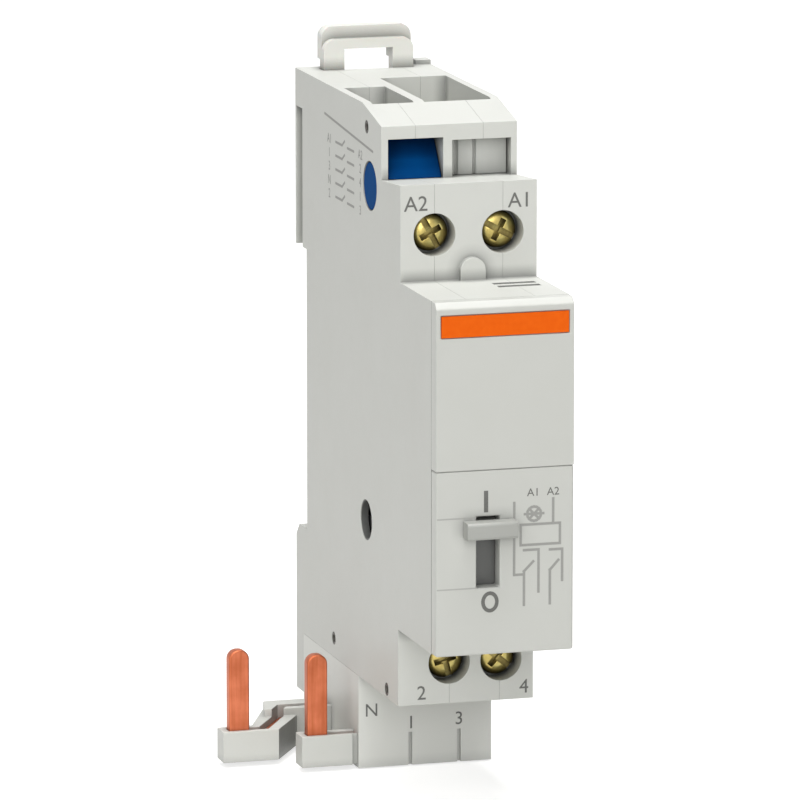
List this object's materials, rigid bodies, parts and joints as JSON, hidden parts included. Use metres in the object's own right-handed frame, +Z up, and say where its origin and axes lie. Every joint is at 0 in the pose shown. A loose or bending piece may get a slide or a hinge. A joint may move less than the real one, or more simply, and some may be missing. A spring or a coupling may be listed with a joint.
{
  "type": "modular impulse relay",
  "caption": "Bistable modular contactor for a 35 mm rail, with a stepped case, an on-off slide lever, screw terminals and copper plug-in prongs beside its foot.",
  "frame": {"origin": "centre of the rail seat, on the rail's axis and at mid-width of the case", "axes": "+Z up along the module's height, +Y from the front into the rail, +X across the width towards the neighbour on the viewer's right"},
  "size_m": [0.0347, 0.0674, 0.0934],
  "materials": {
    "case_plastic": "fine matt",
    "cover_plastic": "satin",
    "strip_film": "satin print",
    "dark_plastic": "matt",
    "blue_plastic": "satin",
    "pale_plastic": "matt",
    "natural_nylon": "satin",
    "copper": "bright",
    "passivated_steel": "yellow passivated",
    "spring_steel": "bright",
    "magnet_iron": "zinc plated",
    "winding_wire": "enamelled",
    "silver": "bright",
    "rivet_metal": "dull"
  },
  "bodies": {
    "case": {"case_left": "case_plastic", "case_middle": "case_plastic", "case_right": "case_plastic", "case_rivets": "rivet_metal", "front_cover_upper": "cover_plastic", "front_cover_lower": "cover_plastic", "marking_strip": "strip_film", "rocker_pin": "spring_steel", "comb_block": "case_plastic", "comb_cover": "case_plastic", "prong_carrier_left": "case_plastic", "prong_carrier_right": "case_plastic", "prong_left": "copper", "prong_right": "copper", "riser_bar_left": "copper", "riser_bar_right": "copper", "contact_bar_2": "copper", "contact_bar_4": "copper", "fixed_tips_left": "silver", "fixed_tips_right": "silver", "coil_bobbin": "dark_plastic", "coil_winding": "winding_wire", "coil_terminal_a1": "copper", "coil_terminal_a2": "copper", "coil_lead_a1": "copper", "coil_lead_a2": "copper", "magnet_core": "magnet_iron", "magnet_yoke": "magnet_iron", "return_spring": "spring_steel", "clip_spring": "spring_steel", "blue_marker": "blue_plastic", "grey_marker": "pale_plastic"},
    "contact_slide": {"contact_carrier": "dark_plastic", "contact_bridge_left": "copper", "contact_bridge_right": "copper", "moving_tips_left": "silver", "moving_tips_right": "silver", "contact_spring_left": "spring_steel", "contact_spring_right": "spring_steel"},
    "lever": {"switch_lever": "cover_plastic", "lever_plate": "dark_plastic"},
    "rocker": {"rocker": "natural_nylon"},
    "armature": {"armature": "magnet_iron", "drive_arm": "natural_nylon"},
    "clip": {"din_clip": "cover_plastic"},
    "screw_a2": {"terminal_screw_a2": "passivated_steel"},
    "cage_a2": {"terminal_cage_a2": "passivated_steel"},
    "screw_a1": {"terminal_screw_a1": "passivated_steel"},
    "cage_a1": {"terminal_cage_a1": "passivated_steel"},
    "screw_2": {"terminal_screw_2": "passivated_steel"},
    "cage_2": {"terminal_cage_2": "passivated_steel"},
    "screw_4": {"terminal_screw_4": "passivated_steel"},
    "cage_4": {"terminal_cage_4": "passivated_steel"}
  },
  "joints": [
    {"name": "contact_slide", "type": "slide", "parent": "case", "child": "contact_slide", "axis": [0, 0, 1], "range_m": [0, 0.003]},
    {"name": "lever_slide", "type": "slide", "parent": "case", "child": "lever", "axis": [0, 0, -1], "range_m": [0, 0.006]},
    {"name": "rocker_pivot", "type": "hinge", "parent": "case", "child": "rocker", "pos_m": [0, -0.04, -0.009], "axis": [1, 0, 0], "range_deg": [0, 24.2]},
    {"name": "armature_hinge", "type": "hinge", "parent": "case", "child": "armature", "pos_m": [0, -0.00625, -0.0057], "axis": [-1, 0, 0], "range_deg": [0, 4.8], "stiffness_Nm_per_rad": 0.02, "springref_deg": -8.59},
    {"name": "clip_slide", "type": "slide", "parent": "case", "child": "clip", "axis": [0, 0, 1], "range_m": [0, 0.003], "stiffness_N_per_m": 1500, "springref_m": -0.0005, "deforming": ["clip_spring"]},
    {"name": "screw_turn_a2", "type": "hinge", "parent": "case", "child": "screw_a2", "pos_m": [-0.0045, -0.036, 0.0284], "axis": [0, 1, 0], "range_deg": [0, 1500.5]},
    {"name": "cage_lift_a2", "type": "slide", "parent": "case", "child": "cage_a2", "axis": [0, -1, 0], "range_m": [0, 0.0025]},
    {"name": "screw_turn_a1", "type": "hinge", "parent": "case", "child": "screw_a1", "pos_m": [0.0045, -0.036, 0.0284], "axis": [0, 1, 0], "range_deg": [0, 1500.5]},
    {"name": "cage_lift_a1", "type": "slide", "parent": "case", "child": "cage_a1", "axis": [0, -1, 0], "range_m": [0, 0.0025]},
    {"name": "screw_turn_2", "type": "hinge", "parent": "case", "child": "screw_2", "pos_m": [-0.0022, -0.038, -0.0272], "axis": [0, 1, 0], "range_deg": [0, 1500.5]},
    {"name": "cage_lift_2", "type": "slide", "parent": "case", "child": "cage_2", "axis": [0, -1, 0], "range_m": [0, 0.0025]},
    {"name": "screw_turn_4", "type": "hinge", "parent": "case", "child": "screw_4", "pos_m": [0.0047, -0.038, -0.0272], "axis": [0, 1, 0], "range_deg": [0, 1500.5]},
    {"name": "cage_lift_4", "type": "slide", "parent": "case", "child": "cage_4", "axis": [0, -1, 0], "range_m": [0, 0.0025]}
  ],
  "couplings": [
    {"joint": "lever_slide", "follows": "contact_slide", "ratio": 2},
    {"joint": "rocker_pivot", "follows": "contact_slide", "rad_per_m": 140.73},
    {"joint": "screw_turn_a2", "follows": "cage_lift_a2", "rad_per_m": 10472},
    {"joint": "screw_turn_a1", "follows": "cage_lift_a1", "rad_per_m": 10472},
    {"joint": "screw_turn_2", "follows": "cage_lift_2", "rad_per_m": 10472},
    {"joint": "screw_turn_4", "follows": "cage_lift_4", "rad_per_m": 10472}
  ]
}
